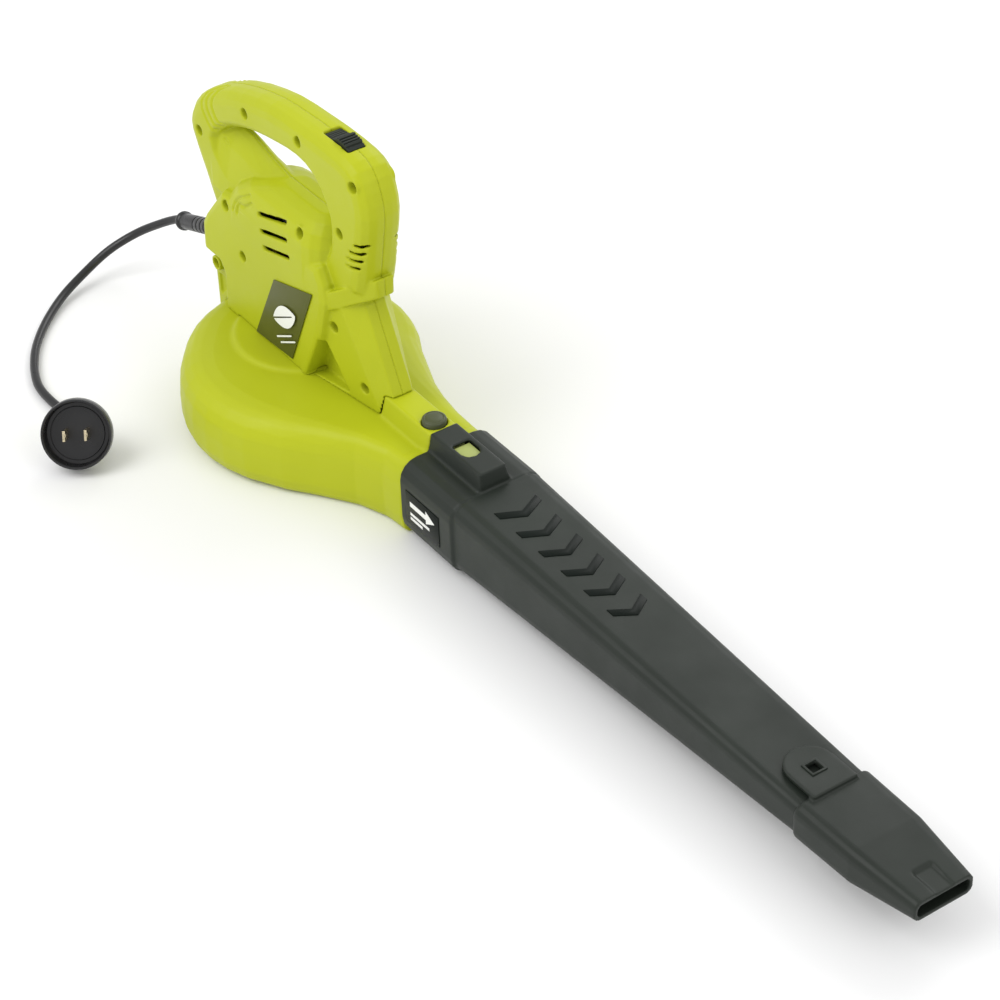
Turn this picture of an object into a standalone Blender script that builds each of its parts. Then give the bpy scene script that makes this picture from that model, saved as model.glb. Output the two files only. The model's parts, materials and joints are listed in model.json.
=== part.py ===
"""Corded leaf blower: D-handled body over a flat scroll fan, with a long push-on tube and nozzle.

+X is the way the air leaves, +Y the operator's left, +Z up. The origin is on the fan axis where it
meets the floor. The outline helpers work in millimetres and the meshes are written in metres.
"""
import math

import bmesh
import bpy
from mathutils import Matrix, Vector

for old in list(bpy.data.objects):
    bpy.data.objects.remove(old, do_unlink=True)

MM = 0.001
GAP = 0.3            # clearance between pieces that touch

# ---- driving dimensions, millimetres -------------------------------------------------------------
WALL = 2.6           # moulded wall
# scroll fan housing
IMPELLER_R = 48.0
SCROLL_R = IMPELLER_R + 24.8   # radius of its round back
SCROLL_GROWTH = 20.7   # how far the near side swells before the neck
SCROLL_SHIFT = -4.0  # centre of the round back, off the fan axis
SCROLL_TOP = 48.0
LEDGE_R = 46.0       # round step that the body stands on
NECK_X = 148.0       # where the neck meets the tube's collar
NECK_HALF = 30.6
INTAKE_R = 34.0
COVER_R = IMPELLER_R + 10
COVER_SCREW_R = 2.5
# body
GRIP_HALF = 14.0     # half width of handle and posts
MOTOR_HALF = 25.5    # half width of the motor housing at its foot
HANDLE_TOP = 210.5
# tube and nozzle
COLLAR_HALF = 31.5
COLLAR_LOW = 1.5
COLLAR_HIGH = 51.5
COLLAR_END = NECK_X + 52
TUBE_END = NECK_X + 360
TUBE_WALL = 2.2
NOZZLE_START = NECK_X + 340
NOZZLE_BEND = NECK_X + 381
MOUTH_X = NECK_X + 424
SPIGOT_LENGTH = 40.0
# fan and motor
BLADES = 8
SHAFT_R = 3.0
STATOR_R = 19.5
ARMATURE_R = 12.5
COMMUTATOR_R = 9.0
BEARING_R = 8.0
SHAFT_TOP = 132.0
# switch, latch
ROCKER_X = 62.0
ROCKER_LENGTH = 26.0
ROCKER_HALF = 5.5
ROCKER_Z = 206.4     # height of its pin
BUTTON_X = NECK_X - 9
BUTTON_R = 7.2
BUTTON_TRAVEL = 1.8
LATCH_TOP = 62.0
LATCH_PIVOT_X = NECK_X - 30
LATCH_AXIS_Z = 56.0
PIN_R = 1.5
LATCH_PIN_HALF = 8.4   # half the length of the latch's pin
WINDOW_X = NECK_X + 25
# screws
SCREW_HEAD_R = 2.8
SCREW_SHANK_R = 1.5
SCREW_HOLE_R = 3.4
BOSS_R = 5.0
SEAT_Y = 7.0         # depth of the screw heads' seats, from the middle plane
# cord and plug
CORD_R = 2.75
RELIEF_R = 5.2
RELIEF_START = (-72.0, 0.0, 79.5)
RELIEF_TIP = (-146.0, 0.0, 52.0)
PLUG_R = 21.0
PLUG_LENGTH = 32.0
CUP_DEPTH = 12.5     # from the cup's rim back to its shoulder
BLADE_SPACING = 12.7
PLUG_LIFT = 30.0     # degrees its face looks up
PLUG_TURN = -33.0    # heading of its face in plan, degrees from +X
PLUG_PLACE = (-20.4, -148.8)
CORD_FLOOR = 2.95    # height of the cord's centre where it lies on the floor

# side-view place of each shell screw, and how far out its boss reaches
SCREWS = [(-84, 152, GRIP_HALF), (-26, 190, GRIP_HALF), (33, 199, GRIP_HALF), (88.5, 196, GRIP_HALF),
          (-46, 121, MOTOR_HALF - 3.4), (37, 143, MOTOR_HALF - 5.4), (72, 158, GRIP_HALF),
          (-28, 95, MOTOR_HALF - 1.5), (-69.2, 67.8, MOTOR_HALF - 4.2), (64, 92, 17), (87.5, 60.6, 12)]


# ---- materials -----------------------------------------------------------------------------------
def material(name, colour, roughness, metallic=0.0):
    mat = bpy.data.materials.new(name)
    mat.use_nodes = True
    shader = mat.node_tree.nodes["Principled BSDF"]
    shader.inputs["Base Color"].default_value = (*colour, 1.0)
    shader.inputs["Roughness"].default_value = roughness
    shader.inputs["Metallic"].default_value = metallic
    return mat


LIME = ("lime_plastic", (0.46, 0.52, 0.035), 0.45, 0.0)
BLACK = ("black_plastic", (0.030, 0.036, 0.033), 0.4, 0.0)
OLIVE = ("olive_plastic", (0.10, 0.12, 0.045), 0.5, 0.0)
TAB = ("tab_plastic", (0.26, 0.30, 0.10), 0.5, 0.0)
LABEL = ("label_film", (0.11, 0.13, 0.03), 0.4, 0.0)
STEEL = ("steel", (0.55, 0.55, 0.56), 0.35, 1.0)
COPPER = ("copper", (0.75, 0.36, 0.17), 0.35, 1.0)
CARBON = ("carbon", (0.05, 0.05, 0.05), 0.7, 0.0)
RUBBER = ("cord_rubber", (0.012, 0.012, 0.012), 0.35, 0.0)
BRASS = ("brass", (0.78, 0.60, 0.27), 0.3, 1.0)


# ---- building helpers ----------------------------------------------------------------------------
def from_bmesh(name, bm):
    bmesh.ops.recalc_face_normals(bm, faces=bm.faces)
    mesh = bpy.data.meshes.new(name)
    bm.to_mesh(mesh)
    bm.free()
    obj = bpy.data.objects.new(name, mesh)
    bpy.context.scene.collection.objects.link(obj)
    return obj


def loft(name, rings):
    """Closed solid through rings of equal length, each a list of (x, y, z) in millimetres."""
    bm = bmesh.new()
    loops = [[bm.verts.new(Vector(p) * MM) for p in ring] for ring in rings]
    count = len(rings[0])
    for low, high in zip(loops, loops[1:]):
        for i in range(count):
            j = (i + 1) % count
            bm.faces.new((low[i], low[j], high[j], high[i]))
    bm.faces.new(loops[0][::-1])
    bm.faces.new(loops[-1])
    return from_bmesh(name, bm)


def prism(name, outline, y0, y1):
    """Side-view outline of (x, z) points, extruded from y0 to y1."""
    return loft(name, [[(x, y, z) for x, z in outline] for y in (y0, y1)])


def plate(name, outline, z0, z1):
    """Plan outline of (x, y) points, extruded from z0 to z1."""
    return loft(name, [[(x, y, z) for x, y in outline] for z in (z0, z1)])


def block(name, x0, x1, y0, y1, z0, z1):
    return plate(name, [(x0, y0), (x1, y0), (x1, y1), (x0, y1)], z0, z1)


def turned(name, profile, centre=(0, 0, 0), axis=(0, 0, 1), steps=24):
    """Solid of revolution: profile is (radius, height) pairs up the axis, closed on the axis or not."""
    bm = bmesh.new()
    turn = Vector((0, 0, 1)).rotation_difference(Vector(axis)).to_matrix().to_4x4()
    place = Matrix.Translation(Vector(centre) * MM) @ turn
    hollow = all(r > 0 for r, _ in profile)
    loops = []
    for radius, height in profile:
        if radius <= 0:
            loops.append([bm.verts.new(place @ Vector((0, 0, height * MM)))])
            continue
        ring = []
        for k in range(steps):
            a = math.tau * k / steps
            spot = Vector((radius * math.cos(a), radius * math.sin(a), height)) * MM
            ring.append(bm.verts.new(place @ spot))
        loops.append(ring)
    pairs = list(zip(loops, loops[1:]))
    if hollow:
        pairs.append((loops[-1], loops[0]))
    for low, high in pairs:
        for k in range(steps):
            n = (k + 1) % steps
            if len(low) == 1:
                bm.faces.new((low[0], high[n], high[k]))
            elif len(high) == 1:
                bm.faces.new((low[k], low[n], high[0]))
            else:
                bm.faces.new((low[k], low[n], high[n], high[k]))
    return from_bmesh(name, bm)


def rod(name, start, end, radius, steps=16):
    start = Vector(start)
    axis = Vector(end) - start
    return turned(name, [(0, 0), (radius, 0), (radius, axis.length), (0, axis.length)], start, axis, steps)


def boolean(obj, other, operation):
    mod = obj.modifiers.new("bool", "BOOLEAN")
    mod.operation = operation
    mod.object = other
    graph = bpy.context.evaluated_depsgraph_get()
    mesh = bpy.data.meshes.new_from_object(obj.evaluated_get(graph))
    obj.modifiers.clear()
    obj.data = mesh
    bpy.data.objects.remove(other, do_unlink=True)
    return obj


def cut(obj, *others):
    for other in others:
        boolean(obj, other, "DIFFERENCE")
    return obj


def add(obj, *others):
    for other in others:
        boolean(obj, other, "UNION")
    return obj


MATERIALS = {}


def done(obj, look, angle=35):
    """Give a finished sub-part its material and shading, and clean the slivers that cutting leaves."""
    bm = bmesh.new()
    bm.from_mesh(obj.data)
    bmesh.ops.remove_doubles(bm, verts=bm.verts, dist=2e-6)
    bmesh.ops.dissolve_degenerate(bm, dist=1e-6, edges=bm.edges)
    bm.to_mesh(obj.data)
    bm.free()
    if look[0] not in MATERIALS:
        MATERIALS[look[0]] = material(*look)
    obj.data.materials.clear()
    obj.data.materials.append(MATERIALS[look[0]])
    obj.data.shade_smooth()
    obj.data.set_sharp_from_angle(angle=math.radians(angle))
    return obj


def set_origin(obj, x, y, z):
    """Put the object's origin on its joint axis without moving the shape."""
    place = Vector((x, y, z)) * MM
    obj.data.transform(Matrix.Translation(-place))
    obj.location = place
    return obj


# ---- curves --------------------------------------------------------------------------------------
def smooth_through(points, per=6, closed=False):
    """Catmull-Rom curve through the points."""
    out = []
    n = len(points)
    spans = n if closed else n - 1
    for i in range(spans):
        if closed:
            p = [points[(i + k) % n] for k in (-1, 0, 1, 2)]
        else:
            p = [points[max(i - 1, 0)], points[i], points[i + 1], points[min(i + 2, n - 1)]]
        for s in range(per):
            t = s / per
            out.append(tuple(0.5 * (2 * b + (c - a) * t + (2 * a - 5 * b + 4 * c - d) * t * t
                                    + (3 * b - a - 3 * c + d) * t ** 3) for a, b, c, d in zip(*p)))
    if not closed:
        out.append(tuple(points[-1]))
    return out


def inset(outline, distance):
    """Move a closed outline inwards (to its left, when it runs counter-clockwise)."""
    area = sum(a[0] * b[1] - b[0] * a[1] for a, b in zip(outline, outline[1:] + outline[:1]))
    side = 1 if area > 0 else -1
    out = []
    n = len(outline)
    for i in range(n):
        before = Vector(outline[i]) - Vector(outline[i - 1])
        after = Vector(outline[(i + 1) % n]) - Vector(outline[i])
        before.normalize()
        after.normalize()
        n0 = Vector((-before.y, before.x))
        n1 = Vector((-after.y, after.x))
        mid = (n0 + n1) / max(1e-6, 1 + n0.dot(n1))
        out.append(tuple(Vector(outline[i]) + mid * distance * side))
    return out


def rounded_box(half_w, low, high, radius, x, per=4):
    """Cross-section ring across X, with round corners."""
    ring = []
    for cy, cz, start in ((half_w - radius, high - radius, 0), (-half_w + radius, high - radius, 90),
                          (-half_w + radius, low + radius, 180), (half_w - radius, low + radius, 270)):
        for k in range(per + 1):
            a = math.radians(start + 90 * k / per)
            ring.append((x, cy + radius * math.cos(a), cz + radius * math.sin(a)))
    return ring


# ---- fan housing ---------------------------------------------------------------------------------
def scroll_outline(grow=0.0, end_x=NECK_X, neck_half=NECK_HALF):
    """Plan outline: far side of the neck, round back, swelling near side, near side of the neck."""
    along = NECK_X / 148
    far = [(120 * along, 31.5), (100 * along, 35), (82 * along, 40), (62 * along, 48)]
    near = [(76 * along, -66), (92 * along, -53), (112 * along, -39), (131 * along, -32)]
    points = [(x, y + grow) for x, y in [(end_x, neck_half)] + far]
    for degrees in range(56, 312, 10):
        swell = min(1.05, max(0.0, (degrees - 235) / 74)) ** 1.2
        r = SCROLL_R + SCROLL_GROWTH * swell + grow
        a = math.radians(degrees)
        points.append((r * math.cos(a), SCROLL_SHIFT + r * math.sin(a)))
    points += [(x, y - grow) for x, y in near + [(end_x, -neck_half)]]
    return points


def scroll_solid(name, grow, top, bottom, end_x=NECK_X, neck_half=NECK_HALF):
    """Round-edged slab on the scroll outline; the rounding tightens along the neck."""
    levels = [(bottom, 10), (bottom + 1.2, 5.6), (bottom + 4.5, 1.9), (bottom + 11, 0), (top - 24, 0),
              (top - 14, 1.2), (top - 8, 4), (top - 3.6, 8.5), (top - 1.2, 14), (top, 22)]
    base = scroll_outline(grow, end_x, neck_half)
    rings = []
    for height, depth in levels:
        wide = inset(base, depth)
        slim = inset(base, depth * 0.42)
        ring = []
        for (x0, y0), (x1, y1), (x2, y2) in zip(base, wide, slim):
            t = min(1.0, max(0.0, (x0 - 40) / 80))
            t = t * t * (3 - 2 * t)
            if x0 == end_x:
                ring.append((end_x, math.copysign(neck_half + grow - depth * 0.42, y0), height))
            else:
                ring.append((x1 + (x2 - x1) * t, y1 + (y2 - y1) * t, height))
        rings.append(ring)
    return loft(name, rings)


def cover_screw_places():
    """Plan places of the four cover screws, outside the impeller's sweep."""
    r = COVER_R - 3.5
    return [(r * math.cos(math.radians(a)), SCROLL_SHIFT + r * math.sin(math.radians(a)))
            for a in (35, 145, 215, 325)]


def collar_ring(x, shrink=0.0, radius=12.0):
    return rounded_box(COLLAR_HALF - shrink, COLLAR_LOW + shrink, COLLAR_HIGH - shrink, radius, x)


def rib_ring(x, spread=0.0, low=40.0, drop=0.0):
    """Section of the raised rib that carries the latch, and of the tube's housing over it."""
    top = LATCH_TOP - drop
    return [(x, y, z) for y, z in ((-11.5 - spread, low), (11.5 + spread, low), (11.5 + spread, 49.5),
                                   (8.8 + spread, top), (-8.8 - spread, top), (-11.5 - spread, 49.5))]


def fan_housing():
    body = scroll_solid("fan_housing", 0.0, SCROLL_TOP, 0.0)
    profile = [(0, 0), (LEDGE_R, 0), (LEDGE_R - 3, 3.2), (0, 3.2)]
    ledge = turned("ledge", profile, (0, 0, SCROLL_TOP - 1.6), steps=40)
    rib = loft("rib", [rib_ring(x, 0.0, 40.0, 1.0) for x in (NECK_X - 48, NECK_X)])
    spigot_ends = (NECK_X - 6, NECK_X + SPIGOT_LENGTH)
    spigot = loft("spigot", [collar_ring(x, TUBE_WALL + GAP, 10) for x in spigot_ends])
    add(body, ledge, rib, spigot)
    hollow = scroll_solid("hollow", -WALL, SCROLL_TOP - WALL, WALL, NECK_X - 4, NECK_HALF)
    duct_ends = (NECK_X - 5, NECK_X + SPIGOT_LENGTH + 5)
    duct = loft("duct", [collar_ring(x, TUBE_WALL + GAP + WALL, 8) for x in duct_ends])
    pillars = [rod("pillar", (x, y, WALL + GAP), (x, y, SCROLL_TOP - 1), 3.6, 14)
               for x, y in cover_screw_places()]
    cut(body, hollow, duct)
    add(body, *pillars)
    mouth = rod("mouth", (0, SCROLL_SHIFT, -1), (0, SCROLL_SHIFT, WALL + GAP), COVER_R + GAP, 48)
    shaft_hole = rod("shaft_hole", (0, 0, SCROLL_TOP - 5), (0, 0, SCROLL_TOP + 5), BEARING_R + GAP, 24)
    channel = block("channel", NECK_X - 40, NECK_X + 1, -6, 6, SCROLL_TOP + 4, LATCH_TOP - 2.6)
    button_hole = rod("button_hole", (BUTTON_X, 0, SCROLL_TOP + 6), (BUTTON_X, 0, LATCH_TOP + 2),
                      BUTTON_R + GAP, 24)
    pin_end = LATCH_PIN_HALF + GAP
    pin_hole = rod("pin_hole", (LATCH_PIVOT_X, -pin_end, LATCH_AXIS_Z),
                   (LATCH_PIVOT_X, pin_end, LATCH_AXIS_Z), PIN_R + GAP, 12)
    cut(body, mouth, shaft_hole, channel, button_hole, pin_hole)
    for x, y in cover_screw_places():
        cut(body, rod("bore", (x, y, 0), (x, y, 14), SCREW_SHANK_R + GAP, 10))
    done(body, LIME)


def base_cover():
    centre = (0, SCROLL_SHIFT, 0)
    cover = turned("base_cover", [(0, 0), (COVER_R, 0), (COVER_R, WALL), (0, WALL)], centre, steps=48)
    cut(cover, rod("intake", (0, 0, -1), (0, 0, WALL + 1), INTAKE_R, 40))
    for x, y in cover_screw_places():
        cut(cover, rod("bore", (x, y, -1), (x, y, WALL + 1), SCREW_SHANK_R + GAP, 10))
        cut(cover, rod("sink", (x, y, -1), (x, y, 1.2), COVER_SCREW_R + GAP, 12))
    done(cover, BLACK)
    for number, (x, y) in enumerate(cover_screw_places(), 1):
        profile = [(0, 0), (COVER_SCREW_R, 0), (COVER_SCREW_R, 0.9), (SCREW_SHANK_R, 0.9),
                   (SCREW_SHANK_R, 11), (0, 11)]
        done(turned(f"cover_screw_{number}", profile, (x, y, 0.1), steps=12), STEEL)


def intake_grille():
    """Guard in the intake: rings joined by spokes, thick enough to keep fingers off the fan."""
    low, high = 0.0, WALL - 0.2
    grille = turned("intake_grille", [(INTAKE_R - GAP, low), (INTAKE_R - GAP, high), (INTAKE_R - 3, high),
                                      (INTAKE_R - 3, low)], steps=40)
    for r in (22, 12):
        add(grille, turned("ring", [(r, low), (r, high), (r - 2, high), (r - 2, low)], steps=32))
    add(grille, rod("hub", (0, 0, low), (0, 0, high), 4, 16))
    for k in range(3):
        bar = block("bar", -INTAKE_R + 1.5, INTAKE_R - 1.5, -1.2, 1.2, low + 0.2, high - 0.2)
        bar.data.transform(Matrix.Rotation(math.pi * k / 3, 4, "Z"))
        add(grille, bar)
    done(grille, BLACK)


# ---- impeller and motor --------------------------------------------------------------------------
def blade_outline(turn):
    """Backward-leaning curved blade in plan."""
    left, right = [], []
    for k in range(6):
        r = 15 + (IMPELLER_R - 16) * k / 5
        a = turn - 0.55 * (k / 5) ** 1.3
        half = 1.0 / r
        left.append((r * math.cos(a + half), r * math.sin(a + half)))
        right.append((r * math.cos(a - half), r * math.sin(a - half)))
    return left + right[::-1]


def impeller():
    top = SCROLL_TOP - WALL - 4
    profile = [(SHAFT_R + GAP, 20), (10, 20), (10, top - 2), (IMPELLER_R, top - 2), (IMPELLER_R, top),
               (SHAFT_R + GAP, top)]
    hub = turned("impeller", profile, steps=40)
    for k in range(BLADES):
        blade = plate("blade", blade_outline(math.tau * k / BLADES), 11, top - 1)
        add(hub, blade)
    done(hub, BLACK)
    bore = (SHAFT_R + GAP) / math.cos(math.pi / 6)
    done(turned("impeller_nut", [(bore, 14.5), (6.2, 14.5), (6.2, 19.7), (bore, 19.7)], steps=6), STEEL)


def motor():
    done(rod("motor_shaft", (0, 0, 12), (0, 0, SHAFT_TOP), SHAFT_R, 14), STEEL)

    def sleeve(name, inner, outer, low, high, look, steps=28):
        profile = [(inner, low), (outer, low), (outer, high), (inner, high)]
        done(turned(name, profile, steps=steps), look)

    bore = SHAFT_R + GAP
    sleeve("bearing_lower", bore, BEARING_R, SCROLL_TOP - 1, SCROLL_TOP + 6, STEEL)
    sleeve("armature_core", bore, ARMATURE_R, 74, 100, STEEL)
    sleeve("armature_winding_lower", bore, ARMATURE_R - 1.5, 66, 73.7, COPPER, 20)
    sleeve("armature_winding_upper", bore, ARMATURE_R - 1.5, 100.3, 107, COPPER, 20)
    sleeve("commutator", bore, COMMUTATOR_R, 109, 119, COPPER, 24)
    sleeve("bearing_upper", bore, BEARING_R, 123, 130, STEEL)
    sleeve("stator_core", ARMATURE_R + 0.8, STATOR_R, 75, 99, STEEL, 32)
    for side, name in ((-1, "right"), (1, "left")):
        coil = sorted((side * (ARMATURE_R + 1), side * (STATOR_R - 1)))
        brush = sorted((side * (COMMUTATOR_R + 0.4), side * 14.7))
        holder = sorted((side * 15, side * (STATOR_R - 1.5)))
        done(block(f"field_coil_{name}", -9, 9, *coil, 99.3, 104), COPPER)
        done(block(f"carbon_brush_{name}", -2.5, 2.5, *brush, 111, 117), CARBON)
        done(block(f"brush_holder_{name}", -4, 4, *holder, 109.5, 118.5), BRASS)


# ---- body shells ---------------------------------------------------------------------------------
def motor_half(z):
    """Half width of the motor housing's flat sides, drafted inwards towards the top."""
    return MOTOR_HALF - (z - SCROLL_TOP) * 0.05


def handle_outer():
    rear = [(-73, 97), (-86, 123), (-98, 147), (-96.5, 161), (-85, 176), (-64, 188.5), (-33, 200), (0, 207.5)]
    front = [(26, 209.5), (50, HANDLE_TOP), (76, HANDLE_TOP - 0.8), (90, 205), (97.5, 193), (100, 178),
             (96.5, 158), (92.5, 138), (88, 122)]
    crest = smooth_through(rear + front, 2)
    return crest + [(50, 100), (-40, 90)]


def handle_hole():
    top = [(-67, 153), (-58, 164), (-42, 172), (-20, 179), (8, 184), (30, 186), (46, 182), (57, 170)]
    foot = [(60, 156), (52, 132), (20, 124), (-20, 126), (-44, 133), (-60, 142)]
    return smooth_through(top + foot, 2, closed=True)


def edge_rounded(name, outline, half, radius=9.0):
    """Side-view outline with its rim rolled over on both sides."""
    steps = [(-half, radius), (-half + radius * 0.13, radius * 0.5), (-half + radius * 0.5, radius * 0.13),
             (-half + radius, 0), (half - radius, 0), (half - radius * 0.5, radius * 0.13),
             (half - radius * 0.13, radius * 0.5), (half, radius)]
    return loft(name, [[(x, y, z) for x, z in inset(outline, depth)] for y, depth in steps])


def dome_rings(shrink=0.0):
    """Level sections of the motor hood, closing in to its crest."""
    out = []
    for z, x0, x1, half in ((108, -58, 58, 22.4), (126, -52, 58, 22.2), (138, -42, 58, 21.4),
                            (146, -30, 57, 19.0), (151.5, -14, 54, 14.0), (155, 0, 47, 8.0)):
        half -= shrink
        r = min(half - 0.2, 17 - shrink)
        ring = []
        for cx, cy, start in ((x1 - shrink - r, half - r, 0), (x0 + shrink + r, half - r, 90),
                              (x0 + shrink + r, -half + r, 180), (x1 - shrink - r, -half + r, 270)):
            for k in range(5):
                a = math.radians(start + 90 * k / 4)
                ring.append((cx + r * math.cos(a), cy + r * math.sin(a), z - shrink))
        out.append(ring)
    return out


def spine_solid(name, shrink=0.0):
    """Round-topped ridge that climbs from the hood's crest back to the rear post."""
    rings = []
    for x, low, mid, high, top in ((-72, 138, 157, 166, 168), (-64, 138, 157, 165.5, 167.5),
                                   (-55, 132, 152, 163, 166), (-40, 131, 151, 161, 164),
                                   (-20, 134, 149, 156, 158), (2, 138, 148, 152.5, 154)):
        right = [(15.5, 120), (14, low), (9, mid), (4, high - 0.4), (1.5, top)]
        side = [(y - shrink * min(1.0, y / 4), z - shrink * 1.1 if z > 125 else z) for y, z in right]
        ring = [(x, y, z) for y, z in side] + [(x, -y, z) for y, z in side[::-1]]
        rings.append(ring)
    return loft(name, rings)


def lower_outline():
    rear = [(-77, 26), (-77, 96), (-72, 104), (-52, 128), (-30, 130)]
    front = [(56, 130), (62, 120), (64, 108), (58, 84), (42, 44), (36, 26)]
    return rear + front


def lower_solid(name, shrink=0.0):
    """Motor column and rear strut: a side profile whose flat sides lean in, with softened edges."""
    outline = inset(lower_outline(), shrink)
    if shrink:
        outline = [(x, z if z > 40 else 20) for x, z in outline]
    rings = []
    for share, depth in ((-1, 5), (-0.94, 1.5), (-0.8, 0), (0.8, 0), (0.94, 1.5), (1, 5)):
        rings.append([(x, share * (motor_half(max(z, 40)) - shrink), z) for x, z in inset(outline, depth)])
    return loft(name, rings)


def nose_solid(name, shrink=0.0):
    """Fairing from the column down on to the neck, narrowing to a blunt prow."""
    rings = []
    for z, front in ((40 - shrink * 4, 118), (60, 108), (86, 95.5), (112 - shrink, 83), (117 - shrink, 78)):
        front -= shrink * 1.2
        mid = front - 13

        def half(x):
            return 21.6 - (x - 36) * 0.148 - shrink

        back = 36 + shrink * 0.7
        rings.append([(back, -half(back), z), (mid, -half(mid), z), (front, -6.5, z), (front, 6.5, z),
                      (mid, half(mid), z), (back, half(back), z)])
    return loft(name, rings)


def post_facets(inward=0.0):
    """Wedges that cut the front post's corners back to a blunt ridge, wider towards its foot."""
    levels = ((188, 104, 2.5, 108, 101.5, 16), (130, 97, 3.5, 112, 71, 30),
              (114 - inward, 95, 4, 112, 60, 30))
    wedges = []
    for side in (-1, 1):
        rings = []
        for z, ridge_x, ridge, far_x, edge_x, edge in levels:
            ridge_y = side * (ridge - inward * 0.7)
            edge_y = side * (edge - inward * 0.7)
            rings.append([(ridge_x - inward * 0.7, ridge_y, z), (far_x, ridge_y, z), (far_x, edge_y, z),
                          (edge_x - inward * 0.7, edge_y, z)])
        wedges.append(loft("wedge", rings))
    return wedges


NOSE_POCKET = ([(54, 81), (40, 48.6), (74, 51)], 11.5)
REAR_POCKET = ([(-73.5, 57.3), (-55, 58.5), (-73.2, 42)], 14.4)
STRUT_HALF = 16.0    # half width of the strut behind the motor column


def pockets(spread=0.0):
    """Blind pockets in both sides, and the step back to the narrower rear strut.

    The rear pocket is shallower than the wall, so the hollow behind it needs no matching step.
    """
    pieces = []
    for side in (-1, 1):
        for corners, floor in [NOSE_POCKET] if spread else [NOSE_POCKET, REAR_POCKET]:
            pieces.append(prism("pocket", inset(corners, -spread), side * (MOTOR_HALF + 6),
                                side * (floor - spread)))
        step = [(-90, 10), (-50 + spread, 10), (-50 + spread, 72 + spread), (-56, 79 + spread),
                (-90, 79 + spread)]
        pieces.append(prism("step", step, side * (MOTOR_HALF + 6), side * (STRUT_HALF - spread)))
    return pieces


def body_solid():
    body = edge_rounded("body", handle_outer(), GRIP_HALF)
    cut(body, edge_rounded_hole("hole", handle_hole(), GRIP_HALF + 1))
    belt_plan = [(40, -21), (66, -19.3), (95.3, -5.7), (95.3, 5.7), (66, 19.3), (40, 21)]
    belt = loft("belt", [[(x, y, low + 0.6 * (x - 40)) for x, y in belt_plan] for low in (90, 102.5)])
    add(body, loft("dome", dome_rings()), lower_solid("lower"), nose_solid("nose"), belt)
    add(body, spine_solid("spine"))
    cut(body, *post_facets())
    cut(body, *pockets())
    return body


def edge_rounded_hole(name, outline, half):
    """The same rim rolled outwards, for the hand opening."""
    radius = 8.0
    steps = [(-half, -radius), (-half + radius * 0.2, -radius * 0.45), (-half + radius * 0.6, -radius * 0.1),
             (-half + radius + 1, 0), (half - radius - 1, 0), (half - radius * 0.6, -radius * 0.1),
             (half - radius * 0.2, -radius * 0.45), (half, -radius)]
    return loft(name, [[(x, y, z) for x, z in inset(outline, depth)] for y, depth in steps])


def body_hollow():
    inner = prism("inner", inset(handle_outer(), WALL + 1.5), -GRIP_HALF + WALL, GRIP_HALF - WALL)
    cut(inner, prism("inner_hole", inset(handle_hole(), -WALL - 1.5), -GRIP_HALF, GRIP_HALF))
    add(inner, loft("dome", dome_rings(WALL)), lower_solid("lower", WALL), nose_solid("nose", WALL))
    add(inner, spine_solid("spine", WALL))
    cut(inner, *post_facets(WALL))
    cut(inner, *pockets(WALL))
    return inner


def slots():
    """Openings through the sides: three louvres over the motor and four vents on each front facet."""
    pieces = []
    for side in (-1, 1):
        for k in range(3):
            x, z = -7 + 2 * k, 133.5 - 10.5 * k
            shape = [(x, z), (x + 30, z + 8), (x + 30, z + 11), (x, z + 3)]
            pieces.append(prism("louvre", shape, side * 15, side * 30))
        for k in range(4):
            outer = Vector((88.3 - 2.8 * k, side * (15.3 + 2.2 * k), 157.6 - 6.4 * k))
            inner = Vector((96 - 2.0 * k, side * (7.7 + 1.5 * k), 160.5 - 5.8 * k))
            inward = Vector((-0.71, -0.7 * side, 0))
            rings = [[outer - inward * 3 + lift, inner - inward * 3 + lift, inner + inward * 8 + lift,
                      outer + inward * 8 + lift] for lift in (Vector((0, 0, -0.9)), Vector((0, 0, 0.9)))]
            pieces.append(loft("vent", rings))
    return pieces


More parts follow.
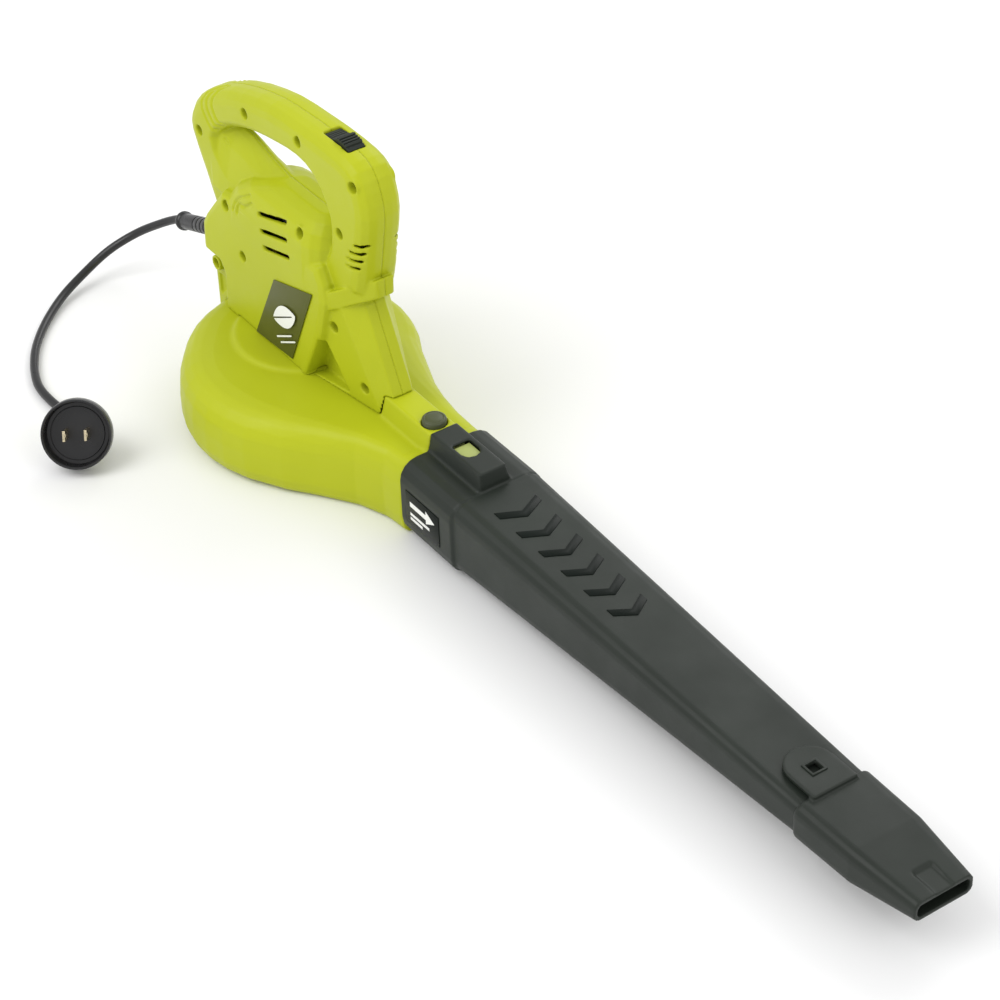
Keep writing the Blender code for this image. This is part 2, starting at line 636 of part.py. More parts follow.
def shells():
    body = body_solid()
    cut(body, body_hollow())
    for x, z, face in SCREWS:
        add(body, rod("boss", (x, 1.2 - face, z), (x, face - 1.2, z), BOSS_R, 14))
    cut(body, *slots())
    slot = ROCKER_LENGTH / 2 + 0.3
    side = ROCKER_HALF + GAP
    cut(body, block("rocker_slot", ROCKER_X - slot, ROCKER_X + slot, -side, side, 203, 220))
    cut(body, rod("pin_seat", (ROCKER_X, -8.5, ROCKER_Z), (ROCKER_X, 8.5, ROCKER_Z), PIN_R + GAP, 12))
    cut(body, rod("relief_hole", RELIEF_START, RELIEF_TIP, RELIEF_R + GAP, 16))
    cut(body, scroll_solid("seat", GAP, SCROLL_TOP + GAP, -1.0))
    ledge = [(0, 0), (LEDGE_R + GAP, 0), (LEDGE_R - 3 + GAP, 3.5), (0, 3.5)]
    cut(body, turned("ledge_seat", ledge, (0, 0, SCROLL_TOP - 1.6), steps=40))
    cut(body, loft("rib_seat", [rib_ring(x, GAP, 30.0, 1.0 - GAP) for x in (NECK_X - 49.6, NECK_X)]))
    cut(body, rod("bearing_seat", (0, 0, SCROLL_TOP - 4), (0, 0, SCROLL_TOP + 6.5), BEARING_R + 1, 24))
    right = body
    left = body.copy()
    left.data = body.data.copy()
    bpy.context.scene.collection.objects.link(left)
    right.name, left.name = "right_shell", "left_shell"
    cut(right, block("half", -150, 150, -GAP / 2, 60, 0, 260))
    cut(left, block("half", -150, 150, -60, GAP / 2, 0, 260))
    for x, z, side in SCREWS:
        cut(right, rod("bore", (x, -30, z), (x, -SEAT_Y, z), SCREW_HOLE_R, 14))
        cut(right, rod("bore", (x, -SEAT_Y - 1, z), (x, 1, z), SCREW_SHANK_R + GAP, 10))
        cut(left, rod("bore", (x, -1, z), (x, 9, z), SCREW_SHANK_R + GAP, 10))
    done(right, LIME)
    done(left, LIME)
    for number, (x, z, _) in enumerate(SCREWS, 1):
        profile = [(0, 0), (SCREW_HEAD_R, 0), (SCREW_HEAD_R, 1.9), (SCREW_SHANK_R, 1.9),
                   (SCREW_SHANK_R, 14), (0, 14)]
        done(turned(f"shell_screw_{number:02d}", profile, (x, -SEAT_Y - 2.2, z), (0, 1, 0), 12), STEEL)


def label():
    corners = [(-14, 50.6), (27, 53), (51.5, 110), (9, 98.5)]
    rings = []
    for lift in (GAP, 0.9):
        rings.append([(x, -motor_half(z) - lift, z) for x, z in corners])
    done(loft("label_plate", rings), LABEL)


# ---- switch and latch ----------------------------------------------------------------------------
def rocker():
    half = ROCKER_LENGTH / 2 - 0.3
    x0, x1 = ROCKER_X - half, ROCKER_X + half
    side = [(x0, 207), (x0, 209), (ROCKER_X - 2, 210.4), (ROCKER_X + 2, 213.8), (ROCKER_X + 9.5, 212.6),
            (x1, 209.6), (x1, ROCKER_Z), (ROCKER_X + 4, 204), (ROCKER_X - 4, 204)]
    piece = prism("switch_rocker", side, -ROCKER_HALF, ROCKER_HALF)
    cut(piece, rod("eye", (ROCKER_X, -9, ROCKER_Z), (ROCKER_X, 9, ROCKER_Z), PIN_R + GAP, 14))
    set_origin(done(piece, BLACK), ROCKER_X, 0, ROCKER_Z)
    done(rod("rocker_pin", (ROCKER_X, -8, ROCKER_Z), (ROCKER_X, 8, ROCKER_Z), PIN_R, 12), STEEL)
    done(block("switch_body", ROCKER_X - 12, ROCKER_X + 12, -9, 9, 190.3, 201.3), BLACK)


def latch():
    top = LATCH_AXIS_Z + 1
    lever = block("latch_lever", LATCH_PIVOT_X - 5, WINDOW_X + 8, -5, 5, top - 2, top)
    boss_ends = [(LATCH_PIVOT_X, y, LATCH_AXIS_Z) for y in (-5.5, 5.5)]
    eye_ends = [(LATCH_PIVOT_X, y, LATCH_AXIS_Z) for y in (-9, 9)]
    pad = block("pad", WINDOW_X - 7, WINDOW_X + 7, -5.4, 5.4, top - 1, LATCH_TOP - 2.3)
    add(lever, rod("boss", *boss_ends, PIN_R + 1.1, 14), pad)
    cut(lever, rod("eye", *eye_ends, PIN_R + GAP, 12))
    set_origin(done(lever, TAB), LATCH_PIVOT_X, 0, LATCH_AXIS_Z)
    pin_ends = [(LATCH_PIVOT_X, y, LATCH_AXIS_Z) for y in (-LATCH_PIN_HALF, LATCH_PIN_HALF)]
    done(rod("latch_pin", *pin_ends, PIN_R, 12), STEEL)
    low = top + GAP
    rim = LATCH_TOP + 1.2
    profile = [(0, low), (3, low), (3, low + 0.9), (BUTTON_R, low + 0.9), (BUTTON_R, rim),
               (BUTTON_R - 1, rim + 1), (0, rim + 1.4)]
    set_origin(done(turned("release_button", profile, (BUTTON_X, 0, 0), steps=28), OLIVE), BUTTON_X, 0, 60)


# ---- tube and nozzle -----------------------------------------------------------------------------
def tube_section(x, shrink=0.0):
    """The tube's own taper, from the collar's lip to its end inside the nozzle."""
    t = (x - COLLAR_END) / (TUBE_END - COLLAR_END)
    half = 29.8 - 8.0 * t - shrink
    low = 4.0 + 17.5 * t + shrink
    high = 51.0 - 11.0 * t - shrink
    return rounded_box(half, low, high, 9 - 4.5 * t - shrink * 0.5, x)


def blower_tube():
    collar = loft("blower_tube", [collar_ring(NECK_X + GAP, 0.8, 11.5), collar_ring(NECK_X + 1.2),
                                  collar_ring(COLLAR_END - 1), collar_ring(COLLAR_END, 0.8, 11.5),
                                  tube_section(COLLAR_END + 0.8), tube_section(TUBE_END)])
    housing = loft("housing", [rib_ring(NECK_X + GAP), rib_ring(COLLAR_END - 3),
                               rib_ring(COLLAR_END - 1, 0.0, 40.0, 8.0)])
    add(collar, housing)
    end = NECK_X + SPIGOT_LENGTH + 1
    bore = loft("bore", [collar_ring(NECK_X - 1, TUBE_WALL, 10), collar_ring(end, TUBE_WALL, 10),
                         tube_section(COLLAR_END + 4, TUBE_WALL), tube_section(TUBE_END + 2, TUBE_WALL)])
    channel = block("channel", NECK_X - 1, WINDOW_X + 14, -7, 7, 45, LATCH_TOP - 2)
    dee = [(WINDOW_X - 7.5, -6), (WINDOW_X + 2, -6), (WINDOW_X + 6, -4.2), (WINDOW_X + 7.5, 0),
           (WINDOW_X + 6, 4.2), (WINDOW_X + 2, 6), (WINDOW_X - 7.5, 6)]
    window = plate("window", dee, LATCH_TOP - 3, LATCH_TOP + 2)
    cut(collar, bore, channel, window)
    set_origin(done(collar, BLACK), NECK_X, 0, 26)
    x0, x1 = NECK_X + 7, NECK_X + 40
    y = -COLLAR_HALF - GAP
    done(block("collar_sticker", x0, x1, y - 0.5, y, 16, 37), BLACK)


def air_nozzle():
    outer = loft("air_nozzle", [rounded_box(24.0, 19.4, 42.2, 6.5, NOZZLE_START),
                                rounded_box(24.4, 19.0, 42.6, 6.5, NOZZLE_START + 2),
                                rounded_box(23.6, 19.8, 42.2, 6, NOZZLE_BEND),
                                rounded_box(18.6, 26.3, 38.6, 4.5, MOUTH_X)])
    tip = NOZZLE_START - 16
    turns = [math.radians(a) for a in range(90, 271, 20)]
    arc = [(tip + 14 * math.cos(a), 14 * math.sin(a)) for a in turns]
    tongue = plate("tongue", [(NOZZLE_START + 4, 14)] + arc + [(NOZZLE_START + 4, -14)], 42.4, 45)
    add(outer, tongue)
    socket = loft("socket", [rounded_box(h + GAP, lo - GAP, hi + GAP, 5.2, x) for x, h, lo, hi in
                             ((NOZZLE_START - 1, 22.6, 20.3, 41.5), (TUBE_END + 1, 22.4, 20.6, 41.3))])
    bore = loft("bore", [rounded_box(20.6, 22.6, 39.6, 4, TUBE_END - 2),
                         rounded_box(20.6, 22.8, 39.2, 4, NOZZLE_BEND),
                         rounded_box(16.2, 28.7, 36.2, 2.5, MOUTH_X + 1)])
    hole = block("square", tip - 0.4, tip + 6.4, -3.4, 3.4, 42, 46)
    cut(outer, socket, bore, hole)
    set_origin(done(outer, BLACK), NOZZLE_START, 0, 31)


# ---- cord and plug -------------------------------------------------------------------------------
def strain_relief():
    start = Vector(RELIEF_START)
    tip = Vector(RELIEF_TIP)
    length = (tip - start).length
    r = RELIEF_R
    profile = [(0, -3.4), (6.3, -3.4), (6.3, -1), (r, -1), (r, length - 4), (r + 1.1, length - 3),
               (r + 1.1, length - 0.8), (r, length), (0, length)]
    done(turned("strain_relief", profile, start, tip - start, 20), RUBBER)


def plug_axis():
    """The plug lies on the edge of its cup, tipped back, so its face looks up a little."""
    lift = math.radians(PLUG_LIFT)
    turn = math.radians(PLUG_TURN)
    return Vector((math.cos(lift) * math.cos(turn), math.cos(lift) * math.sin(turn), math.sin(lift)))


def plug_at(distance):
    """Point on the plug's axis, this far in front of the cup's face."""
    lift = math.radians(PLUG_LIFT)
    height = CUP_DEPTH * math.sin(lift) + PLUG_R * math.cos(lift) + 0.2
    return Vector((*PLUG_PLACE, height)) + plug_axis() * distance


def plug():
    profile = [(0, -PLUG_LENGTH), (5.2, -PLUG_LENGTH), (6.4, -PLUG_LENGTH + 2), (8.0, -18), (13.5, -14),
               (PLUG_R, -CUP_DEPTH), (PLUG_R, 0), (PLUG_R - 1.8, 0), (PLUG_R - 2.2, -9.5), (0, -9.5)]
    body = turned("plug_body", profile, plug_at(0), plug_axis(), 32)
    side = plug_axis().cross(Vector((0, 0, 1))).normalized()
    up = plug_axis().cross(side)
    frame = Matrix((side, up, plug_axis())).transposed().to_4x4()
    for sign, name in ((-1, "right"), (1, "left")):
        blade = block(f"plug_blade_{name}", -0.75, 0.75, -3.2, 3.2, -9.2, 6.5)
        centre = plug_at(0) + side * (sign * BLADE_SPACING / 2)
        blade.data.transform(Matrix.Translation(centre * MM) @ frame)
        done(blade, BRASS)
    done(body, RUBBER)


def cord_route():
    """Route chosen by hand: out of the relief, down to the floor, round the fan's near side to the plug."""
    tip = Vector(RELIEF_TIP)
    out = (tip - Vector(RELIEF_START)).normalized()
    tail = plug_at(-PLUG_LENGTH)
    middle = [(-166, -4.5, 42), (-183, -15, 30), (-192, -32, 19), (-191, -52, 10), (-181, -75, 5),
              (-162, -98, CORD_FLOOR), (-138, -117, CORD_FLOOR), (-110, -130, CORD_FLOOR),
              (-85, -132, CORD_FLOOR), (-63, -129, 3.2)]
    points = [tip + out * 2 * GAP, tip + out * 8]
    points += [Vector(p) for p in middle]
    points += [tail - plug_axis() * d for d in (5, 2.5, 2 * GAP)]
    return smooth_through([tuple(p) for p in points], 3)


def power_cord():
    curve = bpy.data.curves.new("power_cord", "CURVE")
    curve.dimensions = "3D"
    curve.bevel_depth = CORD_R * MM
    curve.bevel_resolution = 2
    curve.use_fill_caps = True
    spline = curve.splines.new("POLY")
    route = cord_route()
    spline.points.add(len(route) - 1)
    for point, place in zip(spline.points, route):
        point.co = (*(Vector(place) * MM), 1.0)
    cord = bpy.data.objects.new("power_cord", curve)
    bpy.context.scene.collection.objects.link(cord)
    curve.materials.append(MATERIALS[RUBBER[0]])


fan_housing()
base_cover()
intake_grille()
impeller()
motor()
shells()
label()
rocker()
latch()
blower_tube()
air_nozzle()
strain_relief()
plug()
power_cord()
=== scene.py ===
"""Looks of a corded leaf blower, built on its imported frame: moulded lime casings, black tube and nozzle.

+X is the way the air leaves, +Y the operator's left, +Z up. Sizes below are in millimetres and are
turned into metres by mm().
"""
import json
import math

import bpy
from mathutils import Matrix, Vector
from mathutils.bvhtree import BVHTree
from mathutils.kdtree import KDTree


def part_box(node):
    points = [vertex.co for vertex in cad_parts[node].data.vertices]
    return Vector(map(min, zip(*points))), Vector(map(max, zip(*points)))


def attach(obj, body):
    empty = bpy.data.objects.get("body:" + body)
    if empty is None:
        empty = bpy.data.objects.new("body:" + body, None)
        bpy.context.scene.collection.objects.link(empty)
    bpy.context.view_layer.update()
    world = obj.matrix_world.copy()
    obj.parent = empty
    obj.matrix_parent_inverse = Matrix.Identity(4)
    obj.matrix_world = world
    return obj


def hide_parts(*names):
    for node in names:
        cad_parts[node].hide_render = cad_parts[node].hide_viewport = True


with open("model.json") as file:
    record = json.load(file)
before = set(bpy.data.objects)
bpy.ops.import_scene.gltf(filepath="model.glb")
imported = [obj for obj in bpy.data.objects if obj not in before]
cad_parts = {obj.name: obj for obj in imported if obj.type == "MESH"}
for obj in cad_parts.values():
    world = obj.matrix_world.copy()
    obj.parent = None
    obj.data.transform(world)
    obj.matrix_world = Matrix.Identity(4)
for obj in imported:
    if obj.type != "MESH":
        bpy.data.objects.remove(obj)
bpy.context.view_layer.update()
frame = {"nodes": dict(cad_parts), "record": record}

CORD_R = 2.75
RELIEF_START = (-72.0, 0.0, 79.5)
RELIEF_TIP = (-146.0, 0.0, 52.0)
PLUG_R = 21.0
PLUG_LENGTH = 32.0
PLUG_LIFT = 30.0
PLUG_TURN = -33.0
PLUG_PLACE = (-20.4, -148.8)
CUP_DEPTH = 12.5
CORD_FLOOR = 2.95
BUTTON_X = 139.0
COLLAR_END = 200.0
TUBE_END = 508.0
TUBE_TOP = 51.0       # height of the tube's flat top where it leaves the collar
TUBE_TOP_DROP = 11.0  # how much lower that top is at the tube's end
SEAM_BAND = 1.8       # width beside the middle seam that is left crisp


def mm(*values):
    """Millimetres to a point in metres."""
    return Vector(values) * 0.001


# ---- working on a piece ---------------------------------------------------------------------------
def deselect():
    if bpy.context.object and bpy.context.object.mode != "OBJECT":
        bpy.ops.object.mode_set(mode="OBJECT")
    bpy.ops.object.select_all(action="DESELECT")


def take(piece):
    """Make one piece the active one."""
    deselect()
    piece.select_set(True)
    bpy.context.view_layer.objects.active = piece
    return piece


def modify(piece, kind, **settings):
    """Add a modifier, set it up and apply it."""
    take(piece)
    mod = piece.modifiers.new(kind.lower(), kind)
    for key, value in settings.items():
        setattr(mod, key, value)
    bpy.ops.object.modifier_apply(modifier=mod.name)
    return piece


def carve(piece, *cutters):
    for cutter in cutters:
        modify(piece, "BOOLEAN", operation="DIFFERENCE", object=cutter)
        bpy.data.objects.remove(cutter, do_unlink=True)
    return piece


def merge(piece, distance=0.005):
    take(piece)
    bpy.ops.object.mode_set(mode="EDIT")
    bpy.ops.mesh.select_all(action="SELECT")
    bpy.ops.mesh.remove_doubles(threshold=distance * 0.001)
    bpy.ops.object.mode_set(mode="OBJECT")
    return piece


def outwards(piece):
    take(piece)
    bpy.ops.object.mode_set(mode="EDIT")
    bpy.ops.mesh.select_all(action="SELECT")
    bpy.ops.mesh.normals_make_consistent(inside=False)
    bpy.ops.object.mode_set(mode="OBJECT")
    return piece


def copy_of(node, name):
    """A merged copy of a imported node's mesh, to work on."""
    source = frame["nodes"][node]
    piece = bpy.data.objects.new(name, source.data.copy())
    bpy.context.scene.collection.objects.link(piece)
    merge(piece)
    bpy.ops.mesh.customdata_custom_splitnormals_clear()
    piece.data.materials.clear()
    return piece


def soften(piece, voxel, rounds, keep=1.0):
    """Give every edge the small radius of a moulded part."""
    modify(piece, "REMESH", mode="VOXEL", voxel_size=voxel * 0.001)
    modify(piece, "SMOOTH", factor=0.5, iterations=rounds)
    if keep < 1.0:
        modify(piece, "DECIMATE", ratio=keep)
    bpy.ops.object.shade_smooth()
    return piece


def bevelled(piece, width, segments=2, angle=30):
    modify(piece, "BEVEL", width=width * 0.001, segments=segments, limit_method="ANGLE",
           angle_limit=math.radians(angle), harden_normals=False)
    bpy.ops.object.shade_smooth_by_angle(angle=math.radians(35))
    return piece


def box(name, x0, x1, y0, y1, z0, z1):
    """Cube primitive set to a size and place."""
    deselect()
    bpy.ops.mesh.primitive_cube_add(size=1, location=mm((x0 + x1) / 2, (y0 + y1) / 2, (z0 + z1) / 2))
    piece = bpy.context.object
    piece.name = name
    piece.scale = mm(x1 - x0, y1 - y0, z1 - z0)
    bpy.ops.object.transform_apply(location=True, rotation=True, scale=True)
    return piece


def slab(name, outline, thickness, place):
    """Flat plate: a circle primitive drawn out to an outline of (u, v) points, then extruded along w."""
    deselect()
    bpy.ops.mesh.primitive_circle_add(vertices=len(outline), fill_type="NGON")
    piece = bpy.context.object
    piece.name = name
    for vertex, (u, v) in zip(piece.data.vertices, outline):
        vertex.co = mm(u, v, 0)
    bpy.ops.object.mode_set(mode="EDIT")
    bpy.ops.mesh.select_all(action="SELECT")
    bpy.ops.mesh.extrude_region_move(TRANSFORM_OT_translate={"value": mm(0, 0, thickness)})
    bpy.ops.object.mode_set(mode="OBJECT")
    piece.data.transform(place)
    return outwards(piece)


def turned(name, profile, start=(0, 0, 0), axis=(0, 0, 1), steps=48):
    """Profile of (radius, height) points spun round an axis."""
    mesh = bpy.data.meshes.new(name)
    points = [mm(r, 0, h) for r, h in profile]
    mesh.from_pydata(points, [(i, i + 1) for i in range(len(points) - 1)], [])
    piece = bpy.data.objects.new(name, mesh)
    bpy.context.scene.collection.objects.link(piece)
    modify(piece, "SCREW", steps=steps, render_steps=steps, use_merge_vertices=True,
           merge_threshold=0.000005)
    turn = Vector((0, 0, 1)).rotation_difference(Vector(axis)).to_matrix().to_4x4()
    piece.data.transform(Matrix.Translation(mm(*start)) @ turn)
    merge(piece, 0.002)
    outwards(piece)
    bpy.ops.object.shade_smooth_by_angle(angle=math.radians(35))
    return piece


def through(points, per=6):
    """Catmull-Rom curve through the points."""
    out = []
    last = len(points) - 1
    for i in range(last):
        p = [points[max(i - 1, 0)], points[i], points[i + 1], points[min(i + 2, last)]]
        for s in range(per):
            t = s / per
            out.append(tuple(0.5 * (2 * b + (c - a) * t + (2 * a - 5 * b + 4 * c - d) * t * t
                                    + (3 * b - a - 3 * c + d) * t ** 3) for a, b, c, d in zip(*p)))
    out.append(tuple(points[-1]))
    return out


def tube_along(name, points, radius, sides=2, mesh=True):
    """Round bar that follows the points."""
    curve = bpy.data.curves.new(name, "CURVE")
    curve.dimensions = "3D"
    curve.bevel_depth = radius * 0.001
    curve.bevel_resolution = sides
    curve.use_fill_caps = True
    spline = curve.splines.new("POLY")
    spline.points.add(len(points) - 1)
    for point, place in zip(spline.points, points):
        point.co = (*mm(*place), 1.0)
    piece = bpy.data.objects.new(name, curve)
    bpy.context.scene.collection.objects.link(piece)
    if mesh:
        take(piece)
        bpy.ops.object.convert(target="MESH")
        piece = bpy.context.object
        merge(piece, 0.001)
    return piece


def press(piece, points, width, depth):
    """Press a groove into the surface along a curve; a negative depth raises a bead."""
    mesh = piece.data
    skin = BVHTree.FromPolygons([v.co for v in mesh.vertices], [p.vertices for p in mesh.polygons])
    line = [skin.find_nearest(mm(*point))[0] for point in through(points, 12)]
    tree = KDTree(len(line))
    for index, place in enumerate(line):
        tree.insert(place, index)
    tree.balance()
    moves = []
    for vertex in mesh.vertices:
        away = tree.find(vertex.co)[2] * 1000 / width
        if away < 1:
            moves.append((vertex, vertex.normal * (depth * 0.001 * (1 - away * away) ** 1.5)))
    for vertex, move in moves:
        vertex.co -= move
    return piece


def settle(piece, body, slot, look, *nodes):
    """Finish a piece: its material, the body it rides on and the nodes it stands for; the slot argument is
    not used.
    """
    piece.data.materials.clear()
    piece.data.materials.append(look)
    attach(piece, body)
    if nodes:
        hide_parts(*nodes)
    return piece


# ---- materials ------------------------------------------------------------------------------------
class Look:
    """Node material on a Principled shader, with patterns on Object coordinates."""

    def __init__(self, name, colour, roughness, metallic=0.0, **sockets):
        self.material = bpy.data.materials.new(name)
        self.material.use_nodes = True
        self.nodes = self.material.node_tree.nodes
        self.links = self.material.node_tree.links
        self.shader = self.nodes["Principled BSDF"]
        self.colour = colour
        self.shader.inputs["Base Color"].default_value = (*colour, 1)
        self.shader.inputs["Roughness"].default_value = roughness
        self.shader.inputs["Metallic"].default_value = metallic
        for key, value in sockets.items():
            self.shader.inputs[key.replace("_", " ")].default_value = value
        self.place = self.nodes.new("ShaderNodeTexCoord").outputs["Object"]
        self.height = None

    def noise(self, scale, detail=3.0, rough=0.55, stretch=None):
        node = self.nodes.new("ShaderNodeTexNoise")
        node.inputs["Scale"].default_value = scale
        node.inputs["Detail"].default_value = detail
        node.inputs["Roughness"].default_value = rough
        if stretch:
            mapping = self.nodes.new("ShaderNodeMapping")
            mapping.inputs["Scale"].default_value = stretch
            self.links.new(self.place, mapping.inputs["Vector"])
            self.links.new(mapping.outputs["Vector"], node.inputs["Vector"])
        else:
            self.links.new(self.place, node.inputs["Vector"])
        return node.outputs["Fac"]

    def shade(self, source, darker, lighter, low=0.35, high=0.65):
        """Colour drifts between two factors of the base colour."""
        ramp = self.nodes.new("ShaderNodeValToRGB")
        ramp.color_ramp.elements[0].position = low
        ramp.color_ramp.elements[1].position = high
        ramp.color_ramp.elements[0].color = (*(c * darker for c in self.colour), 1)
        ramp.color_ramp.elements[1].color = (*(min(1, c * lighter) for c in self.colour), 1)
        self.links.new(source, ramp.inputs["Fac"])
        self.links.new(ramp.outputs["Color"], self.shader.inputs["Base Color"])
        return self

    def gloss(self, source, low, high):
        spread = self.nodes.new("ShaderNodeMapRange")
        spread.inputs["From Min"].default_value = 0.3
        spread.inputs["From Max"].default_value = 0.7
        spread.inputs["To Min"].default_value = low
        spread.inputs["To Max"].default_value = high
        self.links.new(source, spread.inputs["Value"])
        self.links.new(spread.outputs["Result"], self.shader.inputs["Roughness"])
        return self

    def bump(self, source, strength, distance):
        node = self.nodes.new("ShaderNodeBump")
        node.inputs["Strength"].default_value = strength
        node.inputs["Distance"].default_value = distance * 0.001
        self.links.new(source, node.inputs["Height"])
        if self.height:
            self.links.new(self.height, node.inputs["Normal"])
        self.height = node.outputs["Normal"]
        self.links.new(self.height, self.shader.inputs["Normal"])
        return self


def moulded_plastic(name, colour, roughness, grain=0.25, drift=0.05, shine=0.22):
    """Injection-moulded plastic: faint colour drift, spark-eroded grain and uneven gloss."""
    look = Look(name, colour, roughness, Specular_IOR_Level=shine)
    look.shade(look.noise(14, 4), 1 - drift, 1 + drift)
    look.gloss(look.noise(42, 4), roughness - 0.05, roughness + 0.06)
    look.bump(look.noise(2600, 2, 0.6), grain, 0.05)
    look.bump(look.noise(60, 2), 0.08, 0.4)
    return look.material


def brushed_metal(name, colour, roughness, stretch=(1, 1, 18)):
    look = Look(name, colour, roughness, metallic=1.0)
    look.shade(look.noise(160, 3, 0.6, stretch), 0.82, 1.1)
    look.gloss(look.noise(240, 3, 0.6, stretch), roughness - 0.08, roughness + 0.12)
    look.bump(look.noise(900, 2, 0.6, stretch), 0.2, 0.03)
    return look.material


def wound_wire(name, colour):
    """Enamelled wire, seen as fine turns: painted shade darkens the grooves between turns and painted
    highlight lightens their crowns.
    """
    look = Look(name, colour, 0.3, metallic=1.0)
    wave = look.nodes.new("ShaderNodeTexWave")
    wave.inputs["Scale"].default_value = 900
    wave.inputs["Distortion"].default_value = 1.5
    look.links.new(look.place, wave.inputs["Vector"])
    # painted shade and highlight: the wave bands darken the grooves between the turns and lighten the
    # turns themselves
    look.shade(wave.outputs["Fac"], 0.55, 1.15, 0.2, 0.8)
    look.bump(wave.outputs["Fac"], 0.6, 0.2)
    return look.material


def soft_rubber(name, colour, roughness):
    look = Look(name, colour, roughness)
    look.shade(look.noise(30, 3), 0.8, 1.25)
    look.gloss(look.noise(120, 4), roughness - 0.06, roughness + 0.1)
    look.bump(look.noise(1500, 2, 0.6), 0.18, 0.05)
    return look.material


LIME = moulded_plastic("lime_plastic", (0.430, 0.475, 0.012), 0.42, grain=0.2, drift=0.02, shine=0.2)
BLACK = moulded_plastic("black_green_plastic", (0.018, 0.023, 0.018), 0.42, grain=0.35, drift=0.12,
                        shine=0.25)
GLOSS = moulded_plastic("dark_gloss_plastic", (0.004, 0.007, 0.005), 0.3, grain=0.1, drift=0.1,
                        shine=0.12)
OLIVE = moulded_plastic("olive_button_plastic", (0.068, 0.078, 0.038), 0.38, grain=0.3, drift=0.08)
TAB = moulded_plastic("pale_olive_plastic", (0.36, 0.41, 0.13), 0.42, grain=0.3, drift=0.06)
FILM = moulded_plastic("olive_label_film", (0.088, 0.097, 0.016), 0.40, grain=0.12, drift=0.04)
WHITE = moulded_plastic("white_print", (0.83, 0.84, 0.80), 0.45, grain=0.1, drift=0.02)
RUBBER = soft_rubber("cord_rubber", (0.010, 0.010, 0.011), 0.30)
STEEL = brushed_metal("zinc_plated_steel", (0.50, 0.50, 0.49), 0.34)
CORE = brushed_metal("laminated_steel", (0.30, 0.30, 0.31), 0.45, (1, 1, 60))
BRASS = brushed_metal("nickel_brass", (0.72, 0.62, 0.42), 0.26)
COPPER = wound_wire("enamelled_copper", (0.62, 0.26, 0.11))
CARBON = moulded_plastic("carbon_block", (0.035, 0.035, 0.037), 0.7, grain=0.6, drift=0.2)


# ---- camera, light and floor ----------------------------------------------------------------------
def camera():
    """Looks down on the right side from ahead, through a long lens."""
    right = Vector((0.5722, 0.8195, -0.0320)).normalized()
    up = Vector((-0.4884, 0.3719, 0.7894))
    up = (up - right * up.dot(right)).normalized()
    data = bpy.data.cameras.new("camera")
    data.lens = 106.7
    data.sensor_width = 36.0
    data.clip_end = 20.0
    view = bpy.data.objects.new("camera", data)
    view.matrix_world = Matrix.Translation((1.2880, -0.7181, 1.0539)) @ Matrix(
        (right, up, right.cross(up))).transposed().to_4x4()
    bpy.context.scene.collection.objects.link(view)
    bpy.context.scene.camera = view


def softbox(name, place, aim, size, power, colour=(1, 1, 1)):
    data = bpy.data.lights.new(name, "AREA")
    data.shape = "RECTANGLE"
    data.size, data.size_y = size
    data.energy = power
    data.color = colour
    light = bpy.data.objects.new(name, data)
    light.location = place
    light.rotation_euler = (Vector(aim) - Vector(place)).to_track_quat("-Z", "Y").to_euler()
    bpy.context.scene.collection.objects.link(light)


def studio():
    world = bpy.data.worlds.new("studio")
    world.use_nodes = True
    world.node_tree.nodes["Background"].inputs["Color"].default_value = (1.0, 1.0, 1.0, 1)
    world.node_tree.nodes["Background"].inputs["Strength"].default_value = 0.8
    bpy.context.scene.world = world
    bpy.context.scene.view_settings.view_transform = "Standard"
    middle = (0.12, -0.02, 0.08)
    softbox("key", (-0.3, -1.5, 1.9), middle, (1.6, 1.6), 26)
    softbox("back", (-0.6, 1.6, 1.5), middle, (1.6, 1.2), 14)
    softbox("front", (2.0, 0.4, 1.4), middle, (1.2, 1.2), 9)
    deselect()
    bpy.ops.mesh.primitive_plane_add(size=12, location=(0, 0, 0))
    floor = bpy.context.object
    floor.name = "floor"
    look = Look("pale_floor", (0.86, 0.86, 0.86), 0.6)
    look.shade(look.noise(3, 2), 0.995, 1.005)
    floor.data.materials.append(look.material)


# ---- cord and plug --------------------------------------------------------------------------------
def plug_axis():
    lift = math.radians(PLUG_LIFT)
    turn = math.radians(PLUG_TURN)
    return Vector((math.cos(lift) * math.cos(turn), math.cos(lift) * math.sin(turn), math.sin(lift)))


def plug_at(distance):
    lift = math.radians(PLUG_LIFT)
    height = CUP_DEPTH * math.sin(lift) + PLUG_R * math.cos(lift) + 0.2
    return Vector((*PLUG_PLACE, height)) + plug_axis() * distance


def cord_route():
    """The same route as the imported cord: out of the relief, down to the floor and round to the plug."""
    tip = Vector(RELIEF_TIP)
    out = (tip - Vector(RELIEF_START)).normalized()
    tail = plug_at(-PLUG_LENGTH)
    middle = [(-166, -4.5, 42), (-183, -15, 30), (-192, -32, 19), (-191, -52, 10), (-181, -75, 5),
              (-162, -98, CORD_FLOOR), (-138, -117, CORD_FLOOR), (-110, -130, CORD_FLOOR),
              (-85, -132, CORD_FLOOR), (-63, -129, 3.2)]
    points = [tip + out * 0.6, tip + out * 8]
    points += [Vector(p) for p in middle]
    points += [tail - plug_axis() * d for d in (5, 2.5, 0.6)]
    return through([tuple(p) for p in points], 8)


